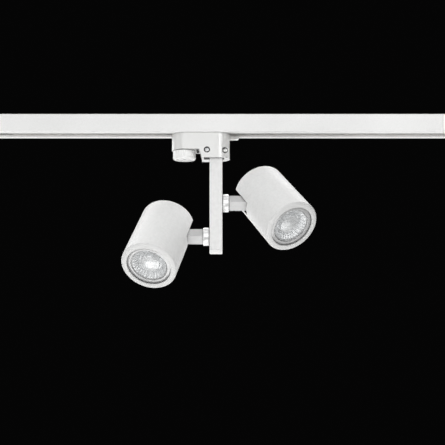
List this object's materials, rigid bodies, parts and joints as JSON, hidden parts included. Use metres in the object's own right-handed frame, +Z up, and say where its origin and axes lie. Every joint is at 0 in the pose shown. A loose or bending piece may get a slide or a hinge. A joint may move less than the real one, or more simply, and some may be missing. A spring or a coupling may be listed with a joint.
{
  "type": "track lighting fixture",
  "caption": "Ceiling rail with a plug-in adapter, a flat stem hanging from it, and two cylindrical spot heads that swivel and tilt on short side arms.",
  "frame": {"origin": "centre of the rail's top face, which is screwed to the ceiling", "axes": "+X along the rail, away from its live end; +Z up, out of the rail's top face; -Y towards the side the heads face"},
  "size_m": [0.5631, 0.0927, 0.1735],
  "materials": {
    "white_paint": "fine satin powder coat",
    "white_plastic": "satin moulded",
    "grey_plastic": "matt moulded",
    "copper": "drawn copper",
    "brass": "spring brass",
    "steel": "zinc plated",
    "ceramic": "fired ceramic",
    "clear_lens": "clear moulded optic",
    "lamp_silver": "polished",
    "wire_sheath": "sheathed wire"
  },
  "bodies": {
    "track": {"rail_extrusion": "white_paint", "front_insulator_strip": "white_plastic", "rear_insulator_strip": "white_plastic", "front_copper_conductor": "copper", "rear_copper_conductor": "copper", "dead_end_cap": "white_plastic", "end_feed_housing": "white_plastic", "end_feed_cover": "white_plastic", "end_feed_cover_screw": "steel", "cable_inlet_bush": "grey_plastic", "feed_terminal_block": "grey_plastic"},
    "adapter": {"front_housing_shell": "white_plastic", "rear_housing_shell": "white_plastic", "left_shell_screw": "steel", "right_shell_screw": "steel", "earth_insert": "grey_plastic", "earth_contact_spring": "brass", "stem_tube": "white_paint", "stem_cross_pin": "steel", "stem_end_plug": "white_plastic", "stem_wire": "wire_sheath"},
    "lock": {"lock_knob": "white_plastic", "knob_screw": "steel", "contact_rotor": "grey_plastic", "lock_wing": "grey_plastic", "contact_carrier": "grey_plastic", "front_contact_blade": "copper", "rear_contact_blade": "copper"},
    "tab": {"release_tab": "white_plastic"},
    "left_arm": {"left_friction_washer": "grey_plastic", "left_swivel_collar": "white_paint", "left_swivel_axle": "steel", "left_swivel_nut": "steel", "left_arm": "white_paint"},
    "left_head": {"left_head_shell": "white_paint", "left_front_ring": "white_paint", "left_lamp_body": "lamp_silver", "left_lamp_lens": "clear_lens", "left_lamp_holder": "ceramic", "left_holder_bracket": "steel", "left_pin_bracket": "steel", "left_rear_screw": "steel", "left_tilt_pin": "steel", "left_tilt_nut": "steel"},
    "right_arm": {"right_friction_washer": "grey_plastic", "right_swivel_collar": "white_paint", "right_swivel_axle": "steel", "right_swivel_nut": "steel", "right_arm": "white_paint"},
    "right_head": {"right_head_shell": "white_paint", "right_front_ring": "white_paint", "right_lamp_body": "lamp_silver", "right_lamp_lens": "clear_lens", "right_lamp_holder": "ceramic", "right_holder_bracket": "steel", "right_pin_bracket": "steel", "right_rear_screw": "steel", "right_tilt_pin": "steel", "right_tilt_nut": "steel"}
  },
  "joints": [
    {"name": "adapter_slide", "type": "slide", "parent": "track", "child": "adapter", "axis": [1, 0, 0], "range_m": [-0.14, 0.21]},
    {"name": "lock_knob_turn", "type": "hinge", "parent": "adapter", "child": "lock", "pos_m": [-0.0385, 0, -0.03], "axis": [0, 0, 1], "range_deg": [0, 90]},
    {"name": "release_tab_press", "type": "slide", "parent": "adapter", "child": "tab", "axis": [0, 0, -1], "range_m": [0, 0.0015], "stiffness_N_per_m": 300, "springref_m": -0.002},
    {"name": "left_arm_swivel", "type": "hinge", "parent": "adapter", "child": "left_arm", "pos_m": [-0.0065, 0, -0.1214], "axis": [1, 0, 0], "range_deg": [-122.6, 207.4]},
    {"name": "left_head_tilt", "type": "hinge", "parent": "left_arm", "child": "left_head", "pos_m": [-0.0463, 0, -0.1214], "axis": [0, 0.6769, -0.7361], "range_deg": [-12.1, 77.9]},
    {"name": "right_arm_swivel", "type": "hinge", "parent": "adapter", "child": "right_arm", "pos_m": [-0.0065, 0, -0.08765], "axis": [1, 0, 0], "range_deg": [-121.1, 208.9]},
    {"name": "right_head_tilt", "type": "hinge", "parent": "right_arm", "child": "right_head", "pos_m": [0.0333, 0, -0.08765], "axis": [0, -0.6574, 0.7536], "range_deg": [-24.1, 65.9]}
  ]
}
